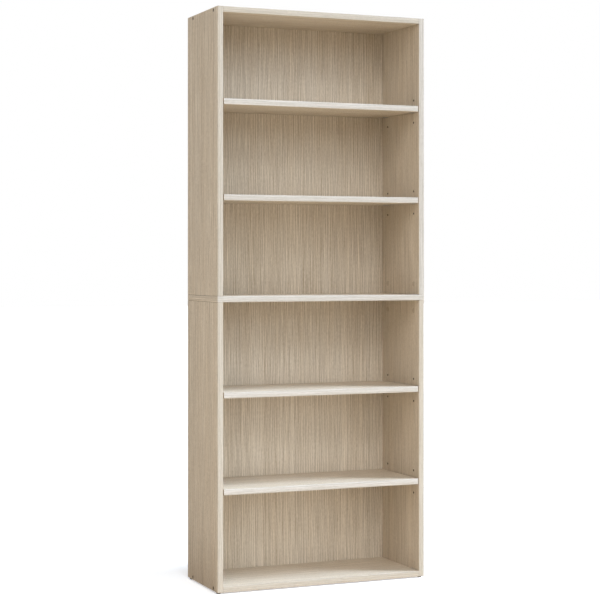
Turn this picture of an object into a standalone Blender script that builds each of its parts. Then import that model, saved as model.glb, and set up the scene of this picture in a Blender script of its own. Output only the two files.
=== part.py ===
"""Bookcase with adjustable shelves.

A tall flat-pack case of wood-grain board. A lower and an upper pair of side panels are joined
through a fixed middle panel, a top and a bottom panel close the ends, two thin backs sit in
grooves, and four loose shelves lie on L-shaped supports pegged into rows of holes.

Metres, +Z up. The origin is on the floor under the middle of the case; the open front faces -Y.
"""

from math import pi, radians

import bmesh
import bpy
from mathutils import Matrix, Vector

# Case
WIDTH = 0.708
DEPTH = 0.282
CASE_HEIGHT = 1.800
BOARD = 0.018
EDGE_RADIUS = 0.0008
EDGE_SEGMENTS = 2
GAP = 0.0003

# Backs, held in a groove near the rear edge
BACK_THICKNESS = 0.003
BACK_INSET = 0.008
GROOVE_DEPTH = 0.005

# Loose shelves: how far the underside is above the case's bottom edge or the middle panel's top
LOWER_SHELF_RISES = (0.2980, 0.5955)
UPPER_SHELF_RISES = (0.2950, 0.5900)
SHELF_END_GAP = 0.0025
SHELF_BACK_GAP = 0.001

# Drilling: the front and the rear column, measured from the front edge
COLUMNS = {"front": 0.0385, "rear": 0.2305}
PEG_PITCH = 0.036
PEG_HOLE_RADIUS = 0.0026
PEG_HOLE_DEPTH = 0.010

# Shelf supports
PIN_RADIUS = 0.0023
PIN_LENGTH = 0.008
PIN_RISE = 0.0035
SUPPORT_PLATE = 0.0016
SUPPORT_WIDTH = 0.014
LEDGE_REACH = 0.014
LEG_RISE = 0.012

# Screws through the sides into the top and bottom panels
SCREW_LENGTH = 0.050
SCREW_HEAD_RADIUS = 0.0048
SCREW_HEAD_HEIGHT = 0.0015
SCREW_CONE_HEIGHT = 0.0025
SCREW_NECK_RADIUS = 0.0033
SCREW_NECK_LENGTH = 0.012
SCREW_THREAD_RADIUS = 0.0026
SCREW_TIP_LENGTH = 0.004
SCREW_HEX_RADIUS = 0.0023
SCREW_HEX_DEPTH = 0.003

# Cam locks and the double-ended bolts through the middle panel
CAM_RADIUS = 0.0072
CAM_HEIGHT = 0.012
CAM_SETBACK = 0.034
POCKET_RADIUS = 0.0075
POCKET_DEPTH = 0.0127
CAM_FACE_INSET = 0.0005
CAM_SLOT = (0.0014, 0.009, 0.0015)
BOLT_RADIUS = 0.0034
BOLT_NECK_RADIUS = 0.0022
BOLT_NECK_LENGTH = 0.006
BOLT_HEAD_LENGTH = 0.003
BOLT_HOLE_RADIUS = 0.004

# Dowels
DOWEL_RADIUS = 0.0037
DOWEL_HOLE_RADIUS = 0.004
DOWEL_IN_SIDE = 0.010
DOWEL_IN_PANEL = 0.020
DOWEL_IN_SIDE_END = 0.016
DOWEL_CHAMFER = 0.001

# Glide feet under the ends of the side panels
FOOT_HEIGHT = 0.005
FOOT_RADIUS = 0.0075
FOOT_EDGE_INSET = 0.017
FOOT_CHAMFER = 0.0012
NAIL_RADIUS = 0.001
NAIL_LENGTH = 0.016
NAIL_HOLE_RADIUS = 0.0013

# Facets round each drilled or turned shape
HOLE_FACETS = 12
SEAT_FACETS = 16
POCKET_FACETS = 20
NAIL_HOLE_FACETS = 8
PIN_FACETS = 10
SCREW_FACETS = 12
BOLT_FACETS = 10
DOWEL_FACETS = 10
FOOT_FACETS = 16

# Places worked out from the sizes above
FRONT = -DEPTH / 2
REAR = DEPTH / 2
OUTER = WIDTH / 2
INNER = OUTER - BOARD
SIDE_MIDDLE = OUTER - BOARD / 2
CASE_BOTTOM = FOOT_HEIGHT
CASE_TOP = CASE_BOTTOM + CASE_HEIGHT
MIDDLE_BOTTOM = CASE_BOTTOM + (CASE_HEIGHT - BOARD) / 2
MIDDLE_TOP = MIDDLE_BOTTOM + BOARD
BACK_REAR = REAR - BACK_INSET
BACK_FRONT = BACK_REAR - BACK_THICKNESS
OVERCUT = 0.002
SHARP_ANGLE = radians(40)

SIDES = {"left": -1, "right": 1}
SHELF_UNDERSIDES = {
    "shelf_1": CASE_BOTTOM + LOWER_SHELF_RISES[0],
    "shelf_2": CASE_BOTTOM + LOWER_SHELF_RISES[1],
    "shelf_3": MIDDLE_TOP + UPPER_SHELF_RISES[0],
    "shelf_4": MIDDLE_TOP + UPPER_SHELF_RISES[1],
}


# Scene and helpers

def clear_scene():
    for item in list(bpy.data.objects):
        bpy.data.objects.remove(item, do_unlink=True)


def new_collection(name):
    collection = bpy.data.collections.new(name)
    bpy.context.scene.collection.children.link(collection)
    return collection


def new_material(name, colour, roughness, metallic=0.0):
    material = bpy.data.materials.new(name)
    material.use_nodes = True
    shader = material.node_tree.nodes["Principled BSDF"]
    shader.inputs["Base Color"].default_value = (*colour, 1.0)
    shader.inputs["Roughness"].default_value = roughness
    shader.inputs["Metallic"].default_value = metallic
    return material


def add_object(name, bm, collection, location=(0, 0, 0)):
    """Makes an object of a bmesh whose coordinates are about the given location."""
    mesh = bpy.data.meshes.new(name)
    bm.to_mesh(mesh)
    bm.free()
    item = bpy.data.objects.new(name, mesh)
    item.location = location
    collection.objects.link(item)
    return item


def add_box(bm, low, high):
    size = [b - a for a, b in zip(low, high)]
    centre = [(a + b) / 2 for a, b in zip(low, high)]
    matrix = Matrix.Translation(centre) @ Matrix.Diagonal((*size, 1.0))
    bmesh.ops.create_cube(bm, size=1.0, matrix=matrix)


def add_rod(bm, start, end, radius, segments, end_radius=None):
    """A closed cylinder, or a cone frustum, between two points."""
    start = Vector(start)
    span = Vector(end) - start
    turn = span.to_track_quat("Z", "Y").to_matrix().to_4x4()
    matrix = Matrix.Translation(start + span / 2) @ turn
    bmesh.ops.create_cone(
        bm,
        cap_ends=True,
        segments=segments,
        radius1=radius,
        radius2=radius if end_radius is None else end_radius,
        depth=span.length,
        matrix=matrix,
    )


def bevel(item, width, segments):
    modifier = item.modifiers.new("Rounded edges", "BEVEL")
    modifier.width = width
    modifier.segments = segments
    modifier.limit_method = "ANGLE"
    modifier.angle_limit = SHARP_ANGLE


def shade_round(item):
    item.data.shade_smooth()
    item.data.set_sharp_from_angle(angle=SHARP_ANGLE)


def cut(item, label, bm):
    """Takes the closed shapes in a bmesh out of an object."""
    cutter = add_object(f"{item.name}_{label}", bm, cutters)
    cutter.hide_render = True
    cutter.display_type = "WIRE"
    modifier = item.modifiers.new(label, "BOOLEAN")
    modifier.operation = "DIFFERENCE"
    modifier.solver = "EXACT"
    modifier.object = cutter


def add_board(name, low, high, material):
    """A board between two corners, with its edges slightly rounded."""
    centre = [(a + b) / 2 for a, b in zip(low, high)]
    bm = bmesh.new()
    add_box(bm, [a - c for a, c in zip(low, centre)], [b - c for b, c in zip(high, centre)])
    board = add_object(name, bm, parts, centre)
    board.data.materials.append(material)
    bevel(board, EDGE_RADIUS, EDGE_SEGMENTS)
    return board


def add_turned(name, profile, segments, material):
    """A turned piece about Z: the profile is (radius, height) from the top down the outside."""
    bm = bmesh.new()
    points = [bm.verts.new((radius, 0, height)) for radius, height in profile]
    for upper, lower in zip(points, points[1:]):
        bm.edges.new((upper, lower))
    piece = add_object(name, bm, parts)
    piece.data.materials.append(material)
    screw = piece.modifiers.new("Turn", "SCREW")
    screw.axis = "Z"
    screw.steps = segments
    screw.render_steps = segments
    screw.use_merge_vertices = True
    screw.merge_threshold = 0.00005
    screw.use_smooth_shade = True
    return piece


def column_y(column):
    return FRONT + COLUMNS[column]


# Panels

def peg_holes(bm, side, case_base, rises):
    """Three holes above one another for each shelf, in a front and a rear column."""
    for rise in rises:
        for step in (-1, 0, 1):
            z = case_base + rise + PIN_RISE + step * PEG_PITCH
            for column in COLUMNS:
                y = column_y(column)
                mouth = (side * (INNER - OVERCUT), y, z)
                end = (side * (INNER + PEG_HOLE_DEPTH), y, z)
                add_rod(bm, mouth, end, PEG_HOLE_RADIUS, HOLE_FACETS)


def screw_holes(bm, side, z):
    """Clearance holes for the screws, which the outer face opens into."""
    for column in COLUMNS:
        y = column_y(column)
        add_rod(
            bm,
            (side * (INNER - OVERCUT), y, z),
            (side * (OUTER + OVERCUT), y, z),
            SCREW_NECK_RADIUS + GAP,
            HOLE_FACETS,
        )


def screw_seats(bm, side, z):
    """The sunk seat around each screw head."""
    depth = SCREW_HEAD_HEIGHT + SCREW_CONE_HEIGHT + GAP
    for column in COLUMNS:
        y = column_y(column)
        add_rod(
            bm,
            (side * (OUTER - depth), y, z),
            (side * (OUTER + OVERCUT), y, z),
            SCREW_HEAD_RADIUS + GAP,
            SEAT_FACETS,
        )


def cam_pockets(bm, side, z):
    for column in COLUMNS:
        y = column_y(column)
        mouth = (side * (INNER - OVERCUT), y, z)
        add_rod(bm, mouth, (side * (INNER + POCKET_DEPTH), y, z), POCKET_RADIUS, POCKET_FACETS)


def end_holes(bm, side, end_z, cam_z):
    """The bolt holes from the panel's end to the cam pockets, and a dowel hole between them."""
    inward = 1 if cam_z > end_z else -1
    x = side * SIDE_MIDDLE
    for column in COLUMNS:
        y = column_y(column)
        start = (x, y, end_z - inward * OVERCUT)
        add_rod(bm, start, (x, y, cam_z), BOLT_HOLE_RADIUS, HOLE_FACETS)
    start = (x, 0, end_z - inward * OVERCUT)
    dowel_end = end_z + inward * (DOWEL_IN_SIDE_END + GAP)
    add_rod(bm, start, (x, 0, dowel_end), DOWEL_HOLE_RADIUS, HOLE_FACETS)


def make_side(section, side_name, bottom, top, outer_end_z, middle_end_z, rises):
    """One side panel. The outer end meets the top or bottom panel, the other the middle panel."""
    side = SIDES[side_name]
    low_x, high_x = sorted((side * INNER, side * OUTER))
    panel = add_board(
        f"{section}_{side_name}_side",
        (low_x, FRONT, bottom),
        (high_x, REAR, top),
        laminate,
    )

    groove = bmesh.new()
    near, far = sorted((side * (INNER - OVERCUT), side * (INNER + GROOVE_DEPTH)))
    add_box(
        groove,
        (near, BACK_FRONT - GAP, bottom - OVERCUT),
        (far, BACK_REAR + GAP, top + OVERCUT),
    )
    cut(panel, "back_groove", groove)

    pegs = bmesh.new()
    case_base = CASE_BOTTOM if section == "lower" else MIDDLE_TOP
    peg_holes(pegs, side, case_base, rises)
    cut(panel, "peg_holes", pegs)

    towards_middle = 1 if middle_end_z > outer_end_z else -1
    cam_z = middle_end_z - towards_middle * CAM_SETBACK
    pockets = bmesh.new()
    cam_pockets(pockets, side, cam_z)
    cut(panel, "cam_pockets", pockets)
    ends = bmesh.new()
    end_holes(ends, side, middle_end_z, cam_z)
    cut(panel, "end_holes", ends)

    panel_z = outer_end_z + towards_middle * BOARD / 2
    clearance = bmesh.new()
    screw_holes(clearance, side, panel_z)
    mouth = (side * (INNER - OVERCUT), 0, panel_z)
    dowel_end = (side * (INNER + DOWEL_IN_SIDE + GAP), 0, panel_z)
    add_rod(clearance, mouth, dowel_end, DOWEL_HOLE_RADIUS, HOLE_FACETS)
    cut(panel, "screw_and_dowel_holes", clearance)
    seats = bmesh.new()
    screw_seats(seats, side, panel_z)
    cut(panel, "screw_seats", seats)
    return panel


def cut_nail_holes(panel, side):
    nails = bmesh.new()
    for y in (FRONT + FOOT_EDGE_INSET, REAR - FOOT_EDGE_INSET):
        x = side * SIDE_MIDDLE
        start = (x, y, CASE_BOTTOM - OVERCUT)
        end = (x, y, CASE_BOTTOM + NAIL_LENGTH + GAP)
        add_rod(nails, start, end, NAIL_HOLE_RADIUS, NAIL_HOLE_FACETS)
    cut(panel, "nail_holes", nails)


def make_sides():
    for side_name in SIDES:
        lower = make_side(
            "lower",
            side_name,
            CASE_BOTTOM,
            MIDDLE_BOTTOM - GAP,
            CASE_BOTTOM,
            MIDDLE_BOTTOM,
            LOWER_SHELF_RISES,
        )
        cut_nail_holes(lower, SIDES[side_name])
        make_side(
            "upper",
            side_name,
            MIDDLE_TOP + GAP,
            CASE_TOP,
            CASE_TOP,
            MIDDLE_TOP,
            UPPER_SHELF_RISES,
        )


def cut_groove(panel, half_length, face_z, inward):
    """A groove for the back, cut into a horizontal panel from one face."""
    low_z, high_z = sorted((face_z - inward * OVERCUT, face_z + inward * GROOVE_DEPTH))
    groove = bmesh.new()
    add_box(
        groove,
        (-half_length, BACK_FRONT - GAP, low_z),
        (half_length, BACK_REAR + GAP, high_z),
    )
    cut(panel, "groove_above" if inward < 0 else "groove_below", groove)


def make_end_panel(name, bottom, inner_face_z, inward):
    """The top or the bottom panel, which sits between the sides."""
    end_x = INNER - GAP
    panel = add_board(name, (-end_x, FRONT, bottom), (end_x, REAR, bottom + BOARD), laminate)
    cut_groove(panel, OUTER, inner_face_z, inward)

    holes = bmesh.new()
    z = bottom + BOARD / 2
    screw_reach = OUTER - SCREW_LENGTH - 2 * GAP
    for side in SIDES.values():
        for column in COLUMNS:
            y = column_y(column)
            start = (side * OUTER, y, z)
            end = (side * screw_reach, y, z)
            add_rod(holes, start, end, SCREW_NECK_RADIUS + GAP, HOLE_FACETS)
        dowel_end = (side * (INNER - DOWEL_IN_PANEL - GAP), 0, z)
        add_rod(holes, (side * OUTER, 0, z), dowel_end, DOWEL_HOLE_RADIUS, HOLE_FACETS)
    cut(panel, "end_holes", holes)


def make_middle_panel():
    panel = add_board(
        "middle_panel",
        (-OUTER, FRONT, MIDDLE_BOTTOM),
        (OUTER, REAR, MIDDLE_TOP),
        laminate,
    )
    groove_end = INNER + GROOVE_DEPTH
    cut_groove(panel, groove_end, MIDDLE_TOP, -1)
    cut_groove(panel, groove_end, MIDDLE_BOTTOM, 1)

    holes = bmesh.new()
    low_z = MIDDLE_BOTTOM - OVERCUT
    high_z = MIDDLE_TOP + OVERCUT
    for side in SIDES.values():
        x = side * SIDE_MIDDLE
        for column in COLUMNS:
            y = column_y(column)
            add_rod(holes, (x, y, low_z), (x, y, high_z), BOLT_HOLE_RADIUS, HOLE_FACETS)
        add_rod(holes, (x, 0, low_z), (x, 0, high_z), DOWEL_HOLE_RADIUS, HOLE_FACETS)
    cut(panel, "bolt_and_dowel_holes", holes)


def make_backs():
    half_width = INNER + GROOVE_DEPTH - GAP
    half_depth = BACK_THICKNESS / 2
    reach = GROOVE_DEPTH - GAP
    spans = {
        "lower_back": (CASE_BOTTOM + BOARD - reach, MIDDLE_BOTTOM + reach),
        "upper_back": (MIDDLE_TOP - reach, CASE_TOP - BOARD + reach),
    }
    for name, (bottom, top) in spans.items():
        bm = bmesh.new()
        half_height = (top - bottom) / 2
        add_box(bm, (-half_width, -half_depth, -half_height), (half_width, half_depth, half_height))
        centre = (0, (BACK_FRONT + BACK_REAR) / 2, (bottom + top) / 2)
        back = add_object(name, bm, parts, centre)
        back.data.materials.append(back_laminate)


def make_shelves():
    end_x = INNER - SHELF_END_GAP
    for name, underside in SHELF_UNDERSIDES.items():
        add_board(
            name,
            (-end_x, FRONT, underside),
            (end_x, BACK_FRONT - SHELF_BACK_GAP, underside + BOARD),
            laminate,
        )


# Hardware

def make_support(name, side, y, shelf_underside):
    """A steel angle: a ledge under the shelf, a leg in the end gap, and a pin in the hole."""
    wall = -GAP
    leg_face = wall - SUPPORT_PLATE
    ledge_top = -GAP - PIN_RISE
    ledge_bottom = ledge_top - SUPPORT_PLATE
    half_width = SUPPORT_WIDTH / 2

    bm = bmesh.new()
    add_box(bm, (leg_face, -half_width, ledge_bottom), (wall, half_width, LEG_RISE))
    support = add_object(name, bm, parts, (side * INNER, y, shelf_underside + PIN_RISE))
    support.data.materials.append(steel)

    extras = {"ledge": bmesh.new(), "pin": bmesh.new()}
    ledge_start = leg_face - LEDGE_REACH
    inside_leg = (leg_face + wall) / 2
    add_box(
        extras["ledge"],
        (ledge_start, -half_width, ledge_bottom),
        (inside_leg, half_width, ledge_top),
    )
    pin_end = (wall + PIN_LENGTH, 0, 0)
    add_rod(extras["pin"], (inside_leg, 0, 0), pin_end, PIN_RADIUS, PIN_FACETS)
    for label, shape in extras.items():
        tool = add_object(f"{name}_{label}", shape, cutters)
        tool.hide_render = True
        tool.display_type = "WIRE"
        tool.parent = support
        union = support.modifiers.new(label, "BOOLEAN")
        union.operation = "UNION"
        union.solver = "EXACT"
        union.object = tool
    if side < 0:
        support.rotation_euler = (0, 0, pi)


def make_supports():
    for shelf_name, underside in SHELF_UNDERSIDES.items():
        for side_name, side in SIDES.items():
            for column in COLUMNS:
                name = f"support_{shelf_name[-1]}_{side_name}_{column}"
                make_support(name, side, column_y(column), underside)


def make_screw(name, side, y, z):
    """A flat-headed connecting screw with a hexagonal recess, along X."""
    cone_end = SCREW_HEAD_HEIGHT + SCREW_CONE_HEIGHT
    neck_end = cone_end + SCREW_NECK_LENGTH
    tip_start = SCREW_LENGTH - SCREW_TIP_LENGTH
    profile = (
        (0, 0),
        (SCREW_HEAD_RADIUS, 0),
        (SCREW_HEAD_RADIUS, -SCREW_HEAD_HEIGHT),
        (SCREW_NECK_RADIUS, -cone_end),
        (SCREW_NECK_RADIUS, -neck_end),
        (SCREW_THREAD_RADIUS, -neck_end),
        (SCREW_THREAD_RADIUS, -tip_start),
        (SCREW_THREAD_RADIUS / 2, -SCREW_LENGTH),
        (0, -SCREW_LENGTH),
    )
    screw = add_turned(name, profile, SCREW_FACETS, steel)
    recess = bmesh.new()
    hexagon = 6
    add_rod(recess, (0, 0, -SCREW_HEX_DEPTH), (0, 0, OVERCUT), SCREW_HEX_RADIUS, hexagon)
    cut(screw, "hex_recess", recess)
    cutters.objects[f"{name}_hex_recess"].parent = screw
    screw.location = (side * (OUTER - GAP), y, z)
    screw.rotation_euler = (0, side * pi / 2, 0)


def make_screws():
    levels = {"bottom": CASE_BOTTOM + BOARD / 2, "top": CASE_TOP - BOARD / 2}
    for level, z in levels.items():
        for side_name, side in SIDES.items():
            for column in COLUMNS:
                make_screw(f"screw_{level}_{side_name}_{column}", side, column_y(column), z)


def make_cam(name, side, y, z, bolt_side):
    """A round cam in its pocket, with a channel on the bolt's side and a driver slot."""
    face = INNER + CAM_FACE_INSET
    bm = bmesh.new()
    add_rod(bm, (0, 0, 0), (CAM_HEIGHT, 0, 0), CAM_RADIUS, POCKET_FACETS)
    cam = add_object(name, bm, parts, (side * face, y, z))
    cam.data.materials.append(zinc)
    shade_round(cam)

    bolt_x = SIDE_MIDDLE - face
    half_channel = BOLT_RADIUS + 2 * GAP
    low_z, high_z = sorted((-bolt_side * BOLT_RADIUS, bolt_side * (CAM_RADIUS + OVERCUT)))
    channel = bmesh.new()
    add_box(
        channel,
        (bolt_x - half_channel, -half_channel, low_z),
        (CAM_HEIGHT + OVERCUT, half_channel, high_z),
    )
    cut(cam, "bolt_channel", channel)
    slot_width, slot_length, slot_depth = CAM_SLOT
    slot = bmesh.new()
    add_box(
        slot,
        (-OVERCUT, -slot_length / 2, -slot_width / 2),
        (slot_depth, slot_length / 2, slot_width / 2),
    )
    cut(cam, "driver_slot", slot)
    for label in ("bolt_channel", "driver_slot"):
        cutters.objects[f"{name}_{label}"].parent = cam
    if side < 0:
        cam.rotation_euler = (0, 0, pi)


def make_cams():
    heights = {"lower": MIDDLE_BOTTOM - CAM_SETBACK, "upper": MIDDLE_TOP + CAM_SETBACK}
    for section, z in heights.items():
        bolt_side = 1 if section == "lower" else -1
        for side_name, side in SIDES.items():
            for column in COLUMNS:
                name = f"cam_{section}_{side_name}_{column}"
                make_cam(name, side, column_y(column), z, bolt_side)


def make_cam_bolts():
    """Each bolt has a head in a lower and in an upper cam."""
    tip = BOARD / 2 + CAM_SETBACK + BOLT_HEAD_LENGTH / 2
    neck_start = tip - BOLT_HEAD_LENGTH
    neck_end = neck_start - BOLT_NECK_LENGTH
    upper_half = [
        (0, tip),
        (BOLT_RADIUS, tip),
        (BOLT_RADIUS, neck_start),
        (BOLT_NECK_RADIUS, neck_start),
        (BOLT_NECK_RADIUS, neck_end),
        (BOLT_RADIUS, neck_end),
    ]
    lower_half = [(radius, -height) for radius, height in reversed(upper_half)]
    middle_z = (MIDDLE_BOTTOM + MIDDLE_TOP) / 2
    for side_name, side in SIDES.items():
        for column in COLUMNS:
            name = f"cam_bolt_{side_name}_{column}"
            bolt = add_turned(name, upper_half + lower_half, BOLT_FACETS, steel)
            bolt.location = (side * SIDE_MIDDLE, column_y(column), middle_z)


def dowel_profile(length):
    half = length / 2
    end_radius = DOWEL_RADIUS - DOWEL_CHAMFER
    upper_half = [(0, half), (end_radius, half), (DOWEL_RADIUS, half - DOWEL_CHAMFER)]
    lower_half = [(radius, -height) for radius, height in reversed(upper_half)]
    return upper_half + lower_half


def make_dowels():
    end_length = DOWEL_IN_SIDE + DOWEL_IN_PANEL
    middle_length = BOARD + 2 * DOWEL_IN_SIDE_END
    end_x = INNER + DOWEL_IN_SIDE - end_length / 2
    levels = {"bottom": CASE_BOTTOM + BOARD / 2, "top": CASE_TOP - BOARD / 2}
    for side_name, side in SIDES.items():
        for level, z in levels.items():
            name = f"dowel_{level}_{side_name}"
            dowel = add_turned(name, dowel_profile(end_length), DOWEL_FACETS, beech)
            dowel.location = (side * end_x, 0, z)
            dowel.rotation_euler = (0, pi / 2, 0)
        name = f"dowel_middle_{side_name}"
        dowel = add_turned(name, dowel_profile(middle_length), DOWEL_FACETS, beech)
        dowel.location = (side * SIDE_MIDDLE, 0, (MIDDLE_BOTTOM + MIDDLE_TOP) / 2)


def make_feet():
    """Nail-on glides: a plastic button with its nail, driven into the side panel's lower end."""
    profile = (
        (0, FOOT_HEIGHT + NAIL_LENGTH),
        (NAIL_RADIUS, FOOT_HEIGHT + NAIL_LENGTH - NAIL_RADIUS),
        (NAIL_RADIUS, FOOT_HEIGHT - GAP),
        (FOOT_RADIUS, FOOT_HEIGHT - GAP),
        (FOOT_RADIUS, FOOT_CHAMFER),
        (FOOT_RADIUS - FOOT_CHAMFER, 0),
        (0, 0),
    )
    places = {"front": FRONT + FOOT_EDGE_INSET, "rear": REAR - FOOT_EDGE_INSET}
    for side_name, side in SIDES.items():
        for place, y in places.items():
            foot = add_turned(f"foot_{side_name}_{place}", profile, FOOT_FACETS, black_plastic)
            foot.location = (side * SIDE_MIDDLE, y, 0)


clear_scene()
parts = new_collection("bookcase")
cutters = new_collection("cutters")

laminate = new_material("oak_laminate", (0.48, 0.41, 0.30), 0.5)
back_laminate = new_material("oak_back_laminate", (0.42, 0.36, 0.26), 0.55)
black_plastic = new_material("black_plastic", (0.03, 0.03, 0.03), 0.45)
steel = new_material("zinc_plated_steel", (0.55, 0.55, 0.54), 0.35, 1.0)
zinc = new_material("die_cast_zinc", (0.50, 0.50, 0.50), 0.45, 1.0)
beech = new_material("beech", (0.55, 0.38, 0.22), 0.6)

make_sides()
make_end_panel("bottom_panel", CASE_BOTTOM, CASE_BOTTOM + BOARD, -1)
make_end_panel("top_panel", CASE_TOP - BOARD, CASE_TOP - BOARD, 1)
make_middle_panel()
make_backs()
make_shelves()
make_supports()
make_screws()
make_cams()
make_cam_bolts()
make_dowels()
make_feet()
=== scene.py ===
from math import cos, pi, radians, sin, tau

import bmesh
import bpy
from mathutils import Matrix, Vector


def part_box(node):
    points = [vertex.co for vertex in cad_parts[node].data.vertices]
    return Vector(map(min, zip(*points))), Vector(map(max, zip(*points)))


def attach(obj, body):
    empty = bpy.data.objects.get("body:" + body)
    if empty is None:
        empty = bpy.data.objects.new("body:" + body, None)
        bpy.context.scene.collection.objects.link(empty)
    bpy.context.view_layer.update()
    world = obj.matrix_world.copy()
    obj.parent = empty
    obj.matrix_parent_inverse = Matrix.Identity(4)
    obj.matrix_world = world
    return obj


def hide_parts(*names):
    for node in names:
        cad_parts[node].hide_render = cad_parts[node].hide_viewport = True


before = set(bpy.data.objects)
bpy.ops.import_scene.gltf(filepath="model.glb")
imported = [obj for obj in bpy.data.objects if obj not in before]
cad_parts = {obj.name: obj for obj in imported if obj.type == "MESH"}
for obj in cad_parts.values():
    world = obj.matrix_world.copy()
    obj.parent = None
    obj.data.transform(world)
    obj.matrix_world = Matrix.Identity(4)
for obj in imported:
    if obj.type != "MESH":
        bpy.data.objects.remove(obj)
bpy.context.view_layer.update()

# Camera
CAMERA_PLACE = (-2.0597, -4.8535, 1.0236)
CAMERA_YAW = -22.783
LENS = 98.08
SHIFT_Y = -0.0656

# Boards
BAND = 0.0009
BAND_STEPS = 4
RAW_CHAMFER = 0.0005
HOLE_STEPS = 28
GAP = 0.0003
OVERCUT = 0.001

# Drilling
PEG_PITCH = 0.036
PEG_RADIUS = 0.0026
PEG_DEPTH = 0.010
PEG_SEAT_RADIUS = 0.0035
PEG_SEAT_DEPTH = 0.0012
LEG_RISE = 0.012
POCKET_RADIUS = 0.0075
POCKET_DEPTH = 0.0127
BOLT_HOLE_RADIUS = 0.004
DOWEL_HOLE_RADIUS = 0.004
SCREW_HOLE_RADIUS = 0.0036
SCREW_SEAT_RADIUS = 0.0051
SCREW_SEAT_DEPTH = 0.0043
NAIL_HOLE_RADIUS = 0.0013

# Wood prints: the tones are a light and a dark colour, and a seed moves the grain
PRINT_TONES = ((0.735, 0.645, 0.52), (0.412, 0.33, 0.235))
PALE_BAND_TONES = ((0.575, 0.53, 0.475), (0.445, 0.405, 0.345))
FRAME_BAND_TONES = ((0.535, 0.475, 0.39), (0.415, 0.36, 0.285))
BOLD_PRINTS = ("lower_left_side", "upper_left_side")
PALE_BANDS = ("middle_panel", "upper_right_side")
PLAIN_CONTRAST = 1.0
BOLD_CONTRAST = 1.6
BAND_CONTRAST = 1.3
CROSS_BAND_CONTRAST = 0.8
PRINT_ROUGHNESS = 0.44
BAND_ROUGHNESS = 0.38
BAND_SEED = 20
CROSS_BAND_SEED = 40
BACK_SEED = 14
BACK_PRINT_FACING = -0.9
WANDER = 0.008

# Tolerances: how near counts as touching, and how straight counts as square
TOUCH = 0.00001
SQUARE = 0.99

# Round hardware
ROUND_STEPS = 32
SOFT_EDGE = 0.00025

SIDES = {"left": -1, "right": 1}
COLUMNS = ("front", "rear")
SHELVES = ("shelf_1", "shelf_2", "shelf_3", "shelf_4")
SECTION_SHELVES = {"lower": ("1", "2"), "upper": ("3", "4")}
SECTION_END = {"lower": "bottom", "upper": "top"}

X, Y, Z = 0, 1, 2


# ---------------------------------------------------------------- node helpers

class Nodes:
    """A thin wrapper that adds and links nodes in one tree."""

    def __init__(self, tree):
        self.tree = tree

    def add(self, kind, **settings):
        node = self.tree.nodes.new(kind)
        for name, value in settings.items():
            setattr(node, name, value)
        return node

    def link(self, output, target):
        self.tree.links.new(output, target)

    def feed(self, sockets, values):
        for socket, value in zip(sockets, values):
            if isinstance(value, (int, float)):
                socket.default_value = value
            elif isinstance(value, (tuple, list)):
                socket.default_value = value if len(value) == len(socket.default_value) else (*value, 1.0)
            elif value is not None:
                self.link(value, socket)

    def math(self, operation, first, second=None, clamp=False):
        node = self.add("ShaderNodeMath", operation=operation, use_clamp=clamp)
        self.feed(node.inputs, (first, second))
        return node.outputs[0]

    def vector(self, operation, first, second):
        node = self.add("ShaderNodeVectorMath", operation=operation)
        self.feed(node.inputs, (first, second))
        return node.outputs[0]

    def ramp(self, value, low, high, out_low=0.0, out_high=1.0):
        node = self.add("ShaderNodeMapRange", interpolation_type="SMOOTHSTEP")
        self.feed(node.inputs, (value, low, high, out_low, out_high))
        return node.outputs["Result"]

    def dot(self, vector, direction):
        node = self.add("ShaderNodeVectorMath", operation="DOT_PRODUCT")
        self.feed(node.inputs, (vector, direction))
        return node.outputs["Value"]

    def noise(self, vector, detail=2.0, roughness=0.5, output="Fac", flat=False):
        node = self.add("ShaderNodeTexNoise", noise_dimensions="2D" if flat else "3D")
        self.link(vector, node.inputs["Vector"])
        node.inputs["Scale"].default_value = 1.0
        node.inputs["Detail"].default_value = detail
        node.inputs["Roughness"].default_value = roughness
        return node.outputs[output]

    def cells(self, vector, output="Color"):
        node = self.add("ShaderNodeTexVoronoi")
        self.link(vector, node.inputs["Vector"])
        node.inputs["Scale"].default_value = 1.0
        return node.outputs[output]

    def place(self, scale, offset=(0, 0, 0), base=None):
        """The object's own coordinates in metres, times a number of repeats per metre."""
        node = self.add("ShaderNodeMapping")
        self.link(base or self.add("ShaderNodeTexCoord").outputs["Object"], node.inputs["Vector"])
        node.inputs["Scale"].default_value = scale
        node.inputs["Location"].default_value = offset
        return node.outputs["Vector"]

    def swing(self, value, amount):
        """A value about 0.5 becomes one about 0, times an amount."""
        return self.math("MULTIPLY", self.math("SUBTRACT", value, 0.5), amount)

    def mix(self, factor, first, second, blend="MIX"):
        node = self.add("ShaderNodeMix", data_type="RGBA", blend_type=blend)
        self.feed([s for s in node.inputs if s.enabled], (factor, first, second))
        return [s for s in node.outputs if s.enabled][0]

    def bump(self, height, strength, distance):
        node = self.add("ShaderNodeBump")
        node.inputs["Strength"].default_value = strength
        node.inputs["Distance"].default_value = distance
        self.link(height, node.inputs["Height"])
        return node.outputs["Normal"]


def new_material(name):
    material = bpy.data.materials.new(name)
    material.use_nodes = True
    tree = material.node_tree
    return material, Nodes(tree), tree.nodes["Principled BSDF"]


def along(axis, across, length):
    """Repeats per metre: many across the grain and few along it."""
    return tuple(length if index == axis else across for index in (X, Y, Z))


# ---------------------------------------------------------------- materials

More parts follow.
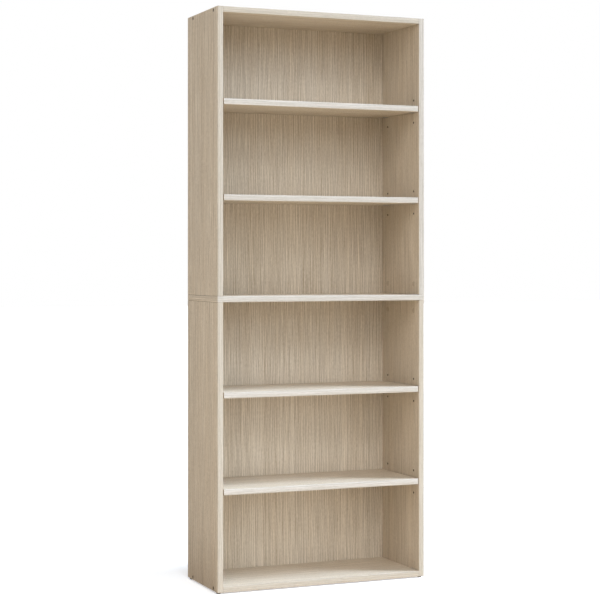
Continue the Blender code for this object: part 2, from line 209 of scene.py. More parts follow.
def wood_print(name, axis, seed, tones, contrast=PLAIN_CONTRAST, roughness=PRINT_ROUGHNESS):
    """Printed pale wood: long fine lines, shorter dashes, dark pores and faint broad arches."""
    light, dark = tones
    material, nodes, shader = new_material(name)
    straight = nodes.place((1, 1, 1))
    wander = nodes.noise(nodes.place(along(axis, 4, 1.3), (seed, seed, seed)), detail=1.0, output="Color")
    drift = nodes.vector("SUBTRACT", wander, (0.5, 0.5, 0.5))
    drift = nodes.vector("MULTIPLY", drift, along(axis, WANDER, 0.0))
    wavy = nodes.vector("ADD", straight, drift)
    sheet = nodes.add("ShaderNodeCombineXYZ")
    nodes.link(nodes.dot(wavy, along(axis, 1, 0)), sheet.inputs[0])
    nodes.link(nodes.dot(wavy, along(axis, 0, 1)), sheet.inputs[1])

    def grain(across, length, detail=1.0, shift=0.0):
        spot = nodes.place((across, length, 1), (seed * 3.17 + shift, seed * 1.73, 0), sheet.outputs[0])
        return nodes.noise(spot, detail, 0.6, flat=True)

    lines = grain(280, 0.8)
    streaks = grain(250, 8)
    crisp = nodes.math("SUBTRACT", grain(330, 9), grain(330, 9, shift=0.45))
    flecks = grain(500, 90)
    dashes = grain(1300, 50)
    broad = grain(22, 0.8)
    rings = nodes.math("SINE", nodes.math("MULTIPLY", grain(7, 1.0), 95))

    tone = nodes.math("ADD", nodes.swing(lines, 1.1), nodes.swing(streaks, 0.75))
    tone = nodes.math("ADD", tone, nodes.math("MULTIPLY", crisp, 1.75))
    tone = nodes.math("ADD", tone, nodes.swing(flecks, 0.7))
    tone = nodes.math("ADD", tone, nodes.swing(broad, 0.2))
    tone = nodes.math("ADD", tone, nodes.math("MULTIPLY", rings, 0.03))
    tone = nodes.math("ADD", nodes.math("MULTIPLY", tone, contrast), 0.5, clamp=True)
    pores = nodes.ramp(dashes, 0.60, 0.72)
    hue = nodes.mix(nodes.ramp(grain(30, 0.8), 0.3, 0.7), (1.006, 1.0, 0.991), (0.994, 1.0, 1.009))
    colour = nodes.mix(1.0, nodes.mix(tone, dark, light), hue, "MULTIPLY")
    colour = nodes.mix(nodes.math("MULTIPLY", pores, 0.16 * contrast), colour, (0.20, 0.14, 0.09))
    nodes.link(colour, shader.inputs["Base Color"])

    sheen = nodes.math("ADD", nodes.swing(streaks, 0.12), roughness)
    nodes.link(sheen, shader.inputs["Roughness"])
    height = nodes.math("SUBTRACT", nodes.math("MULTIPLY", streaks, 0.5), pores)
    nodes.link(nodes.bump(height, 0.25, 0.0001), shader.inputs["Normal"])
    return material


def chipboard(name, light, dark):
    """Raw pressed chips: flat flakes in several browns, with a rough open surface. With very dark tones it
    also serves as painted shade in cuts and at chamfers.
    """
    material, nodes, shader = new_material(name)
    flakes = nodes.cells(nodes.place((520, 520, 900)))
    separate = nodes.add("ShaderNodeSeparateColor")
    nodes.link(flakes, separate.inputs["Color"])
    dust = nodes.noise(nodes.place((1400, 1400, 1400)), detail=4.0, roughness=0.7)
    tone = nodes.math("ADD", nodes.math("MULTIPLY", separate.outputs[0], 0.6), nodes.swing(dust, 0.9))
    tone = nodes.math("ADD", tone, 0.2, clamp=True)
    nodes.link(nodes.mix(tone, dark, light), shader.inputs["Base Color"])
    shader.inputs["Roughness"].default_value = 0.9
    height = nodes.math("ADD", separate.outputs[1], dust)
    nodes.link(nodes.bump(height, 0.6, 0.0003), shader.inputs["Normal"])
    return material


def hardboard():
    """The unprinted rear of a back: brown fibre with the press screen's fine mesh."""
    material, nodes, shader = new_material("hardboard_rear")
    fibre = nodes.noise(nodes.place((260, 260, 260)), detail=5.0, roughness=0.7)
    patches = nodes.noise(nodes.place((9, 9, 9)), detail=3.0)
    tone = nodes.math("ADD", nodes.swing(fibre, 1.2), nodes.swing(patches, 0.8))
    tone = nodes.math("ADD", tone, 0.5, clamp=True)
    nodes.link(nodes.mix(tone, (0.19, 0.105, 0.055), (0.33, 0.20, 0.115)), shader.inputs["Base Color"])
    shader.inputs["Roughness"].default_value = 0.78
    weave = []
    for index in (X, Z):
        separate = nodes.add("ShaderNodeSeparateXYZ")
        nodes.link(nodes.place((1, 1, 1)), separate.inputs[0])
        weave.append(nodes.math("SINE", nodes.math("MULTIPLY", separate.outputs[index], 3600)))
    mesh = nodes.math("MULTIPLY", weave[0], weave[1])
    height = nodes.math("ADD", nodes.math("MULTIPLY", mesh, 0.5), fibre)
    nodes.link(nodes.bump(height, 0.4, 0.00015), shader.inputs["Normal"])
    return material


def metal(name, light, dark, roughness, grain):
    """Plated or cast metal with faint crystals and a little unevenness in its sheen."""
    material, nodes, shader = new_material(name)
    crystals = nodes.add("ShaderNodeSeparateColor")
    nodes.link(nodes.cells(nodes.place((grain, grain, grain))), crystals.inputs["Color"])
    cloud = nodes.noise(nodes.place((220, 220, 220)), detail=4.0, roughness=0.6)
    tone = nodes.math("ADD", nodes.math("MULTIPLY", crystals.outputs[0], 0.45), nodes.swing(cloud, 1.1))
    tone = nodes.math("ADD", tone, 0.27, clamp=True)
    nodes.link(nodes.mix(tone, dark, light), shader.inputs["Base Color"])
    shader.inputs["Metallic"].default_value = 1.0
    nodes.link(nodes.math("ADD", nodes.swing(cloud, 0.3), roughness), shader.inputs["Roughness"])
    scratches = nodes.noise(nodes.place((2600, 260, 2600)), detail=3.0)
    nodes.link(nodes.bump(scratches, 0.15, 0.00005), shader.inputs["Normal"])
    return material


def plastic(name, light, dark, roughness):
    """Moulded plastic with a fine spark-eroded grain and slight mottling."""
    material, nodes, shader = new_material(name)
    mottle = nodes.noise(nodes.place((420, 420, 420)), detail=3.0, roughness=0.6)
    nodes.link(nodes.mix(nodes.ramp(mottle, 0.3, 0.7), dark, light), shader.inputs["Base Color"])
    nodes.link(nodes.math("ADD", nodes.swing(mottle, 0.15), roughness), shader.inputs["Roughness"])
    grain = nodes.cells(nodes.place((2600, 2600, 2600)), output="Distance")
    nodes.link(nodes.bump(grain, 0.2, 0.00008), shader.inputs["Normal"])
    return material


def beech():
    """Bare turned beech with its short dark flecks."""
    material, nodes, shader = new_material("beech_fluted")
    figure = nodes.noise(nodes.place((900, 900, 40)), detail=3.0)
    flecks = nodes.ramp(nodes.noise(nodes.place((1600, 1600, 260)), detail=1.0), 0.58, 0.68)
    colour = nodes.mix(nodes.ramp(figure, 0.3, 0.7), (0.47, 0.30, 0.16), (0.66, 0.47, 0.29))
    colour = nodes.mix(nodes.math("MULTIPLY", flecks, 0.5), colour, (0.28, 0.15, 0.07))
    nodes.link(colour, shader.inputs["Base Color"])
    shader.inputs["Roughness"].default_value = 0.62
    nodes.link(nodes.bump(flecks, 0.2, 0.0001), shader.inputs["Normal"])
    return material


RAW_EDGE = chipboard("raw_chipboard", (0.62, 0.46, 0.29), (0.30, 0.19, 0.10))
# Dark chipboard: painted shade on slanted raw chamfers, which darkens the seams between boards.
CHAMFER_SHADE = chipboard("painted_chamfer_shade", (0.15, 0.105, 0.065), (0.07, 0.05, 0.03))
# Near-black chipboard: painted shade inside holes, grooves and pockets.
PAINTED_CUT_SHADE = chipboard("painted_cut_shade", (0.045, 0.028, 0.016), (0.016, 0.010, 0.006))
HARDBOARD = hardboard()
STEEL = metal("zinc_plate", (0.62, 0.61, 0.58), (0.40, 0.40, 0.40), 0.34, 1400)
SCREW_STEEL = metal("browned_screw", (0.20, 0.16, 0.11), (0.10, 0.078, 0.052), 0.42, 1400)
CAST_ZINC = metal("cast_zinc", (0.52, 0.52, 0.52), (0.36, 0.36, 0.36), 0.5, 900)
BLACK = plastic("black_glide", (0.045, 0.045, 0.045), (0.022, 0.022, 0.022), 0.45)
CAP_PLASTIC = plastic("cover_cap_plastic", (0.51, 0.42, 0.315), (0.44, 0.36, 0.265), 0.5)
BEECH = beech()


# ---------------------------------------------------------------- mesh helpers

def add_box(bm, low, high):
    size = Vector(high) - Vector(low)
    middle = (Vector(high) + Vector(low)) / 2
    bmesh.ops.create_cube(bm, size=1.0, matrix=Matrix.Translation(middle) @ Matrix.Diagonal((*size, 1.0)))


def add_rod(bm, start, end, radius, steps=HOLE_STEPS):
    start = Vector(start)
    span = Vector(end) - start
    turn = span.to_track_quat("Z", "Y").to_matrix().to_4x4()
    bmesh.ops.create_cone(bm, cap_ends=True, segments=steps, radius1=radius, radius2=radius,
                          depth=span.length, matrix=Matrix.Translation(start + span / 2) @ turn)


def turned(profile, steps=ROUND_STEPS, shape=None):
    """A closed turned solid about Z; shape(radius, height, angle) may change the radius."""
    bm = bmesh.new()
    rings = []
    for radius, height in profile:
        ring = []
        for step in range(steps if radius else 1):
            angle = tau * step / steps
            reach = shape(radius, height, angle) if shape and radius else radius
            ring.append(bm.verts.new((reach * cos(angle), reach * sin(angle), height)))
        rings.append(ring)
    for upper, lower in zip(rings, rings[1:]):
        for step in range(steps):
            corners = [upper[step % len(upper)], lower[step % len(lower)]]
            if len(lower) > 1:
                corners.append(lower[(step + 1) % steps])
            if len(upper) > 1:
                corners.append(upper[(step + 1) % steps])
            bm.faces.new(corners)
    bmesh.ops.recalc_face_normals(bm, faces=bm.faces)
    return bm


def arc(centre, radius, start, end, steps):
    """Points on an arc, with its angles in degrees."""
    points = []
    for step in range(steps + 1):
        angle = radians(start + (end - start) * step / steps)
        points.append((centre[0] + radius * cos(angle), centre[1] + radius * sin(angle)))
    return points


def make_object(name, bm, location=(0, 0, 0), rotation=(0, 0, 0)):
    mesh = bpy.data.meshes.new(name)
    bm.to_mesh(mesh)
    bm.free()
    return place_mesh(name, mesh, location, rotation)


def place_mesh(name, mesh, location, rotation):
    piece = bpy.data.objects.new(name, mesh)
    piece.location = location
    piece.rotation_euler = rotation
    bpy.context.scene.collection.objects.link(piece)
    return piece


def combine(piece, bm, operation="DIFFERENCE"):
    """Cuts a bmesh out of a piece, or joins it on, and keeps the result as its mesh."""
    tool = make_object("tool", bm, piece.location, piece.rotation_euler)
    modifier = piece.modifiers.new("combine", "BOOLEAN")
    modifier.operation = operation
    modifier.solver = "EXACT"
    modifier.object = tool
    graph = bpy.context.evaluated_depsgraph_get()
    mesh = bpy.data.meshes.new_from_object(piece.evaluated_get(graph))
    piece.modifiers.clear()
    plain = piece.data
    piece.data = mesh
    bpy.data.meshes.remove(plain)
    bpy.data.objects.remove(tool)


def shade(mesh, degrees=35):
    """Smooth on curved faces and flat on straight ones."""
    for face in mesh.polygons:
        face.use_smooth = max(abs(part) for part in face.normal) < 0.9999
    mesh.set_sharp_from_angle(angle=radians(degrees))


def soften(bm, width, segments=2, sharper_than=50):
    edges = [edge for edge in bm.edges if edge.calc_face_angle(0) > radians(sharper_than)]
    bmesh.ops.bevel(bm, geom=edges, offset=width, segments=segments, profile=0.5, affect="EDGES")


def centre_of(node):
    low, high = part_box(node)
    return (low + high) / 2


def hand_over(piece, node, body):
    """The piece moves with a body and, where a CAD node is given, stands for it and hides it."""
    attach(piece, body)
    if node:
        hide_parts(node)


# ---------------------------------------------------------------- boards

FACES = {"left": (X, 0), "right": (X, 1), "front": (Y, 0), "rear": (Y, 1), "bottom": (Z, 0), "top": (Z, 1)}
PRINT_SLOT, BAND_SLOT, CROSS_BAND_SLOT, RAW_SLOT, CUT_SHADE_SLOT, CHAMFER_SHADE_SLOT = range(6)


def plain_board(low, high, thickness, banded):
    """A board with rounded edge banding on some sides and crisp raw edges elsewhere."""
    bm = bmesh.new()
    add_box(bm, low, high)
    faces = {}
    for face in bm.faces:
        for label, (axis, end) in FACES.items():
            if face.normal[axis] * (2 * end - 1) > SQUARE:
                faces[label] = face
    broad = [faces[label] for label, (axis, end) in FACES.items() if axis == thickness]
    rounded = [edge for edge in bm.edges
               if any(face in broad for face in edge.link_faces)
               and any(faces[label] in edge.link_faces for label in banded)]
    bmesh.ops.bevel(bm, geom=rounded, offset=BAND, segments=BAND_STEPS, profile=0.5, affect="EDGES")
    soften(bm, RAW_CHAMFER, 1)
    return bm


def paint_board(mesh, low, high, thickness, banded):
    """Gives each face its material by where it lies and whether it is square to the board. Cut insides and
    slanted raw chamfers get dark painted shade.
    """
    corners = (low, high)
    for face in mesh.polygons:
        middle = face.center
        gaps = {label: abs(middle[axis] - corners[end][axis]) for label, (axis, end) in FACES.items()}
        from_broad = min(gaps[label] for label in FACES if FACES[label][0] == thickness)
        slanted = max(abs(part) for part in face.normal) < SQUARE
        if from_broad < TOUCH and abs(face.normal[thickness]) > SQUARE:
            face.material_index = PRINT_SLOT
        elif "front" in banded and gaps["front"] < BAND:
            face.material_index = BAND_SLOT
        elif any(gaps[label] < BAND for label in banded):
            face.material_index = CROSS_BAND_SLOT
        # Faces inside cuts get near-black painted shade.
        elif min(gaps.values()) > RAW_CHAMFER:
            face.material_index = CUT_SHADE_SLOT
        # Slanted raw chamfers get dark painted shade, which darkens the seams.
        elif slanted:
            face.material_index = CHAMFER_SHADE_SLOT
        else:
            face.material_index = RAW_SLOT


def make_board(node, body, thickness, grain, banded, cutters, number):
    low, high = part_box(node)
    board = make_object(f"{node}_board", plain_board(low, high, thickness, banded))
    for cutter in cutters:
        combine(board, cutter)
    mesh = board.data
    mesh.materials.clear()
    contrast = BOLD_CONTRAST if node in BOLD_PRINTS else PLAIN_CONTRAST
    pale = body != "case" or node in PALE_BANDS
    band_tones = PALE_BAND_TONES if pale else FRAME_BAND_TONES
    mesh.materials.append(wood_print(f"{node}_print", grain, number, PRINT_TONES, contrast))
    mesh.materials.append(wood_print(f"{node}_band", grain, number + BAND_SEED, band_tones,
                                     BAND_CONTRAST, BAND_ROUGHNESS))
    mesh.materials.append(wood_print(f"{node}_cross_band", Y, number + CROSS_BAND_SEED, PRINT_TONES,
                                     CROSS_BAND_CONTRAST, BAND_ROUGHNESS))
    for material in (RAW_EDGE, PAINTED_CUT_SHADE, CHAMFER_SHADE):
        mesh.materials.append(material)
    paint_board(mesh, low, high, thickness, banded)
    shade(mesh)
    hand_over(board, node, body)


def peg_holes(holes, seats, section, side_name, inner):
    """Rows of holes for the supports' pins, each with a shallow wider mouth."""
    side = SIDES[side_name]
    for shelf in SECTION_SHELVES[section]:
        for column in COLUMNS:
            support = f"support_{shelf}_{side_name}_{column}"
            y = centre_of(support).y
            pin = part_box(support)[1].z - LEG_RISE
            for step in (-1, 0, 1):
                z = pin + step * PEG_PITCH
                mouth = (inner - side * OVERCUT, y, z)
                add_rod(holes, mouth, (inner + side * PEG_DEPTH, y, z), PEG_RADIUS)
                add_rod(seats, mouth, (inner + side * PEG_SEAT_DEPTH, y, z), PEG_SEAT_RADIUS)


def side_cutters(section, side_name):
    """The groove, the peg and cam holes, the holes in the ends, and the screw seats."""
    side = SIDES[side_name]
    low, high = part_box(f"{section}_{side_name}_side")
    inner = low.x if side > 0 else high.x
    outer = high.x if side > 0 else low.x

    back_low, back_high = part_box(f"{section}_back")
    groove_end = (back_high.x if side > 0 else back_low.x) + side * GAP
    groove = bmesh.new()
    near, far = sorted((inner - side * OVERCUT, groove_end))
    add_box(groove, (near, back_low.y - GAP, low.z - OVERCUT), (far, back_high.y + GAP, high.z + OVERCUT))

    holes = bmesh.new()
    ends = bmesh.new()
    seats = bmesh.new()
    peg_holes(holes, seats, section, side_name, inner)
    for column in COLUMNS:
        cam = centre_of(f"cam_{section}_{side_name}_{column}")
        mouth = (inner - side * OVERCUT, cam.y, cam.z)
        add_rod(holes, mouth, (inner + side * POCKET_DEPTH, cam.y, cam.z), POCKET_RADIUS)
        bolt = centre_of(f"cam_bolt_{side_name}_{column}")
        end_z = high.z + OVERCUT if section == "lower" else low.z - OVERCUT
        add_rod(ends, (bolt.x, bolt.y, end_z), (bolt.x, bolt.y, cam.z), BOLT_HOLE_RADIUS)
        screw = centre_of(f"screw_{SECTION_END[section]}_{side_name}_{column}")
        start = (inner - side * OVERCUT, screw.y, screw.z)
        add_rod(holes, start, (outer + side * OVERCUT, screw.y, screw.z), SCREW_HOLE_RADIUS)
        start = (outer - side * SCREW_SEAT_DEPTH, screw.y, screw.z)
        add_rod(seats, start, (outer + side * OVERCUT, screw.y, screw.z), SCREW_SEAT_RADIUS)
        if section == "lower":
            foot = centre_of(f"foot_{side_name}_{column}")
            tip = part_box(f"foot_{side_name}_{column}")[1].z + GAP
            add_rod(ends, (foot.x, foot.y, low.z - OVERCUT), (foot.x, foot.y, tip), NAIL_HOLE_RADIUS)

    plug_low, plug_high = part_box(f"dowel_middle_{side_name}")
    x = (plug_low.x + plug_high.x) / 2
    if section == "lower":
        add_rod(ends, (x, 0, plug_low.z - GAP), (x, 0, high.z + OVERCUT), DOWEL_HOLE_RADIUS)
    else:
        add_rod(ends, (x, 0, low.z - OVERCUT), (x, 0, plug_high.z + GAP), DOWEL_HOLE_RADIUS)
    plug_low, plug_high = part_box(f"dowel_{SECTION_END[section]}_{side_name}")
    z = (plug_low.z + plug_high.z) / 2
    tip = (plug_high.x if side > 0 else plug_low.x) + side * GAP
    add_rod(holes, (inner - side * OVERCUT, 0, z), (tip, 0, z), DOWEL_HOLE_RADIUS)
    return groove, holes, ends, seats


def back_groove(section, face_z, half_length):
    """The groove that one end of a back stands in, from the face of a level panel."""
    low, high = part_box(f"{section}_back")
    inside = (low.z + high.z) / 2
    depth_z = low.z - GAP if face_z < inside else high.z + GAP
    start_z = face_z + OVERCUT if face_z < inside else face_z - OVERCUT
    bottom, top = sorted((start_z, depth_z))
    groove = bmesh.new()
    add_box(groove, (-half_length, low.y - GAP, bottom), (half_length, high.y + GAP, top))
    return groove


def end_panel_cutters(level):
    low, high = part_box(f"{level}_panel")
    section = "lower" if level == "bottom" else "upper"
    face_z = high.z if level == "bottom" else low.z
    holes = bmesh.new()
    for side_name, side in SIDES.items():
        mouth = side * (high.x + OVERCUT)
        for column in COLUMNS:
            screw_low, screw_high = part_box(f"screw_{level}_{side_name}_{column}")
            tip = (screw_low.x if side > 0 else screw_high.x) - side * GAP
            screw = (screw_low + screw_high) / 2
            add_rod(holes, (mouth, screw.y, screw.z), (tip, screw.y, screw.z), SCREW_HOLE_RADIUS)
        plug_low, plug_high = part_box(f"dowel_{level}_{side_name}")
        tip = (plug_low.x if side > 0 else plug_high.x) - side * GAP
        z = (plug_low.z + plug_high.z) / 2
        add_rod(holes, (mouth, 0, z), (tip, 0, z), DOWEL_HOLE_RADIUS)
    return back_groove(section, face_z, high.x + OVERCUT), holes


def middle_panel_cutters():
    low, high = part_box("middle_panel")
    half_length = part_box("upper_back")[1].x + GAP
    holes = bmesh.new()
    for side_name in SIDES:
        places = [(f"cam_bolt_{side_name}_{column}", BOLT_HOLE_RADIUS) for column in COLUMNS]
        places.append((f"dowel_middle_{side_name}", DOWEL_HOLE_RADIUS))
        for node, radius in places:
            middle = centre_of(node)
            start = (middle.x, middle.y, low.z - OVERCUT)
            add_rod(holes, start, (middle.x, middle.y, high.z + OVERCUT), radius)
    return back_groove("upper", high.z, half_length), back_groove("lower", low.z, half_length), holes


def make_boards():
    number = 1
    for section in ("lower", "upper"):
        banded = ("front",) if section == "lower" else ("front", "top")
        for side_name in SIDES:
            node = f"{section}_{side_name}_side"
            make_board(node, "case", X, Z, banded, side_cutters(section, side_name), number)
            number += 1
    for level in ("bottom", "top"):
        make_board(f"{level}_panel", "case", Z, X, ("front",), end_panel_cutters(level), number)
        number += 1
    make_board("middle_panel", "case", Z, X, ("front", "left", "right"), middle_panel_cutters(), number)
    for shelf in SHELVES:
        number += 1
        make_board(shelf, shelf, Z, X, ("front",), (), number)


def make_backs():
    """Thin sheets, printed in front and bare fibre behind."""
    for number, section in enumerate(("lower", "upper")):
        low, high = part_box(f"{section}_back")
        bm = bmesh.new()
        add_box(bm, low, high)
        soften(bm, SOFT_EDGE)
        back = make_object(f"{section}_back_sheet", bm)
        back.data.materials.append(HARDBOARD)
        back.data.materials.append(wood_print(f"{section}_back_print", Z, number + BACK_SEED, PRINT_TONES))
        for face in back.data.polygons:
            face.material_index = 1 if face.normal.y < BACK_PRINT_FACING else 0
        shade(back.data)
        hand_over(back, f"{section}_back", "case")


# ---------------------------------------------------------------- hardware

PLATE = 0.0016
BEND = 0.0007
CORNER = 0.003
PIN_RADIUS = 0.0023
PIN_CHAMFER = 0.0005
RIVET_RADIUS = 0.0021
RIVET_HEIGHT = 0.0004


def support_mesh(node):
    """A bent steel plate with round corners, its pin, and the pin's riveted end. Wall at +X."""
    low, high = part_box(node)
    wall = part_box("lower_right_side")[0].x
    top = LEG_RISE
    bottom = top - (high.z - low.z)
    half_width = (high.y - low.y) / 2
    leg_outer = -GAP
    leg_inner = leg_outer - PLATE
    pin_end = high.x - wall
    ledge_tip = low.x - wall
    ledge_top = bottom + PLATE
    outline = [(ledge_tip, bottom)]
    outline += arc((leg_outer - BEND - PLATE, bottom + BEND + PLATE), BEND + PLATE, -90, 0, 8)
    outline += [(leg_outer, top), (leg_inner, top)]
    outline += arc((leg_inner - BEND, ledge_top + BEND), BEND, 0, -90, 6)
    outline += [(ledge_tip, ledge_top)]
    bm = bmesh.new()
    points = [bm.verts.new((x, -half_width, z)) for x, z in outline]
    front = bm.faces.new(points)
    swept = bmesh.ops.extrude_face_region(bm, geom=[front])
    moved = [item for item in swept["geom"] if isinstance(item, bmesh.types.BMVert)]
    bmesh.ops.translate(bm, verts=moved, vec=(0, 2 * half_width, 0))
    bmesh.ops.recalc_face_normals(bm, faces=bm.faces)

    def at_free_corner(edge):
        ends = [vert.co for vert in edge.verts]
        on_side = all(abs(abs(co.y) - half_width) < TOUCH for co in ends) and ends[0].y * ends[1].y > 0
        at_tip = all(abs(co.x - ledge_tip) < TOUCH for co in ends)
        at_top = all(abs(co.z - top) < TOUCH for co in ends)
        return on_side and (at_tip or at_top)

    corners = [edge for edge in bm.edges if at_free_corner(edge)]
    bmesh.ops.bevel(bm, geom=corners, offset=CORNER, segments=6, profile=0.5, affect="EDGES")
    soften(bm, SOFT_EDGE)
    plate = make_object("support_plate", bm)

    pin_profile = [(0, pin_end), (PIN_RADIUS - PIN_CHAMFER, pin_end), (PIN_RADIUS, pin_end - PIN_CHAMFER),
                   (PIN_RADIUS, leg_outer - PLATE / 2), (0, leg_outer - PLATE / 2)]
    pin = turned(pin_profile, 24)
    pin.transform(Matrix.Rotation(pi / 2, 4, "Y"))
    combine(plate, pin, "UNION")
    rivet_profile = [(RIVET_RADIUS * x, RIVET_HEIGHT * z) for x, z in arc((0, 0), 1, 90, 0, 5)]
    rivet_profile[0] = (0, RIVET_HEIGHT)
    rivet_profile += [(RIVET_RADIUS, -PLATE / 2), (0, -PLATE / 2)]
    rivet = turned(rivet_profile, 24)
    rivet.transform(Matrix.Translation((leg_inner, 0, 0)) @ Matrix.Rotation(-pi / 2, 4, "Y"))
    combine(plate, rivet, "UNION")
    mesh = plate.data
    bpy.data.objects.remove(plate)
    mesh.materials.append(STEEL)
    shade(mesh)
    return mesh


def make_supports():
    mesh = support_mesh("support_1_right_front")
    for shelf in SHELVES:
        for side_name, side in SIDES.items():
            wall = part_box("lower_right_side")[0].x if side > 0 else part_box("lower_left_side")[1].x
            for column in COLUMNS:
                name = f"{shelf[-1]}_{side_name}_{column}"
                node = f"support_{name}"
                place = (wall, centre_of(node).y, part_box(node)[1].z - LEG_RISE)
                piece = place_mesh(f"shelf_support_{name}", mesh, place, (0, 0, 0 if side > 0 else pi))
                hand_over(piece, node, "case")


SCREW_HEAD_RADIUS = 0.0048
SCREW_HEAD_HEIGHT = 0.0015
SCREW_NECK_RADIUS = 0.0033
SCREW_NECK_TOP = 0.004
SCREW_CORE_RADIUS = 0.0020
SCREW_THREAD_TOP = 0.016
SCREW_THREAD_RADIUS = 0.0026
SCREW_TIP_LENGTH = 0.004
SCREW_POINT_LENGTH = 0.001
SCREW_HEX_RADIUS = 0.0023
SCREW_HEX_DEPTH = 0.003
SCREW_PITCH = 0.003
SCREW_CREST = 0.28
SCREW_ROWS_PER_TURN = 8


def screw_mesh(length):
    """A flat-headed connecting screw: hexagonal recess, plain neck, and a coarse spiral thread."""
    thread_start = -SCREW_THREAD_TOP
    thread_end = -length + SCREW_TIP_LENGTH
    rows = int((thread_start - thread_end) / SCREW_PITCH * SCREW_ROWS_PER_TURN)
    profile = [(0, 0), (SCREW_HEAD_RADIUS - SOFT_EDGE, 0), (SCREW_HEAD_RADIUS, -SOFT_EDGE),
               (SCREW_HEAD_RADIUS, -SCREW_HEAD_HEIGHT), (SCREW_NECK_RADIUS, -SCREW_NECK_TOP),
               (SCREW_NECK_RADIUS, thread_start + 0.0006)]
    for row in range(rows + 1):
        profile.append((SCREW_CORE_RADIUS, thread_start + (thread_end - thread_start) * row / rows))
    profile += [(SCREW_CORE_RADIUS * 0.7, -length + SCREW_POINT_LENGTH), (0, -length)]

    def spiral(radius, height, angle):
        if not thread_end <= height <= thread_start:
            return radius
        phase = (height / SCREW_PITCH + angle / tau) % 1.0
        fade = min(1.0, (thread_start - height) / SCREW_PITCH, (height - thread_end) / SCREW_PITCH)
        crest = max(0.0, 1 - abs(phase - 0.5) / SCREW_CREST)
        return radius + (SCREW_THREAD_RADIUS - SCREW_CORE_RADIUS) * crest * max(fade, 0)

    screw = make_object("screw", turned(profile, ROUND_STEPS, spiral))
    recess = bmesh.new()
    add_rod(recess, (0, 0, -SCREW_HEX_DEPTH), (0, 0, OVERCUT), SCREW_HEX_RADIUS, 6)
    combine(screw, recess)
    mesh = screw.data
    bpy.data.objects.remove(screw)
    mesh.materials.append(SCREW_STEEL)
    shade(mesh, 40)
    return mesh


def make_screws():
    low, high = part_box("screw_top_right_front")
    mesh = screw_mesh(high.x - low.x)
    for level in ("bottom", "top"):
        for side_name, side in SIDES.items():
            for column in COLUMNS:
                name = f"{level}_{side_name}_{column}"
                low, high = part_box(f"screw_{name}")
                middle = (low + high) / 2
                place = (high.x if side > 0 else low.x, middle.y, middle.z)
                screw = place_mesh(f"connecting_screw_{name}", mesh, place, (0, side * pi / 2, 0))
                hand_over(screw, f"screw_{name}", "case")


CAM_RADIUS = 0.0072
CAM_HEIGHT = 0.012
CAM_RIM = 0.0004
CAM_LIP_HEIGHT = 0.0010
CAM_LIP_STEP = 0.0005
CROSS_HALF_LENGTH = 0.0032
CROSS_HALF_WIDTH = 0.0007
CROSS_DEPTH = 0.0035
CAP_RADIUS = 0.0084
CAP_EDGE = 0.0009
CAP_PROUD = 0.0011
CAP_STEM_RADIUS = 0.0017
CAP_STEM_LENGTH = 0.0030
BOLT_RADIUS = 0.0034
BOLT_NECK_RADIUS = 0.0022
BOLT_EDGE = 0.0004
BOLT_HEAD_LENGTH = 0.003
BOLT_NECK_START = 0.0032
BOLT_NECK_END = 0.0088
BOLT_GRIP_START = 0.008
BOLT_RINGS = 8
RING_PITCH = 0.001


def cam_mesh(bolt_x):
    """A cast cam about X: stepped rim, cross recess in its face, and the bolt's way in at +Z."""
    lip = CAM_RADIUS - CAM_LIP_STEP
    profile = [(0, CAM_HEIGHT), (CAM_RADIUS - CAM_RIM, CAM_HEIGHT), (CAM_RADIUS, CAM_HEIGHT - CAM_RIM),
               (CAM_RADIUS, CAM_LIP_HEIGHT), (lip, CAM_LIP_HEIGHT), (lip, CAM_RIM), (lip - CAM_RIM, 0),
               (0, 0)]
    cam = make_object("cam", turned(profile, 40))
    half_channel = BOLT_RADIUS + 2 * GAP
    channel = bmesh.new()
    add_box(channel, (-CAM_RADIUS - OVERCUT, -half_channel, bolt_x - half_channel),
            (BOLT_RADIUS, half_channel, CAM_HEIGHT + OVERCUT))
    combine(cam, channel)
    for half_x, half_y in ((CROSS_HALF_LENGTH, CROSS_HALF_WIDTH), (CROSS_HALF_WIDTH, CROSS_HALF_LENGTH)):
        slot = bmesh.new()
        add_box(slot, (-half_x, -half_y, -OVERCUT), (half_x, half_y, CROSS_DEPTH))
        combine(cam, slot)
    mesh = cam.data
    bpy.data.objects.remove(cam)
    mesh.transform(Matrix.Rotation(pi / 2, 4, "Y"))
    mesh.materials.append(CAST_ZINC)
    shade(mesh)
    return mesh


def cap_mesh():
    """A pressed-in cover cap about X: a thin domed disc with a stem for the cam's recess."""
    rim = arc((CAP_RADIUS - CAP_EDGE, 0.0002), CAP_EDGE, 0, 90, 6)
    profile = [(0, CAP_PROUD), (CAP_RADIUS * 0.45, CAP_PROUD - 0.00004)]
    profile += [(x, min(z, CAP_PROUD - 0.0001)) for x, z in reversed(rim)]
    profile += [(CAP_RADIUS, 0), (CAP_STEM_RADIUS, 0), (CAP_STEM_RADIUS, -0.0006),
                (0.0005, -CAP_STEM_LENGTH), (0, -CAP_STEM_LENGTH)]
    cap = turned(profile, 48)
    cap.transform(Matrix.Rotation(-pi / 2, 4, "Y"))
    mesh = bpy.data.meshes.new("cover_cap")
    cap.to_mesh(mesh)
    cap.free()
    mesh.materials.append(CAP_PLASTIC)
    shade(mesh)
    return mesh


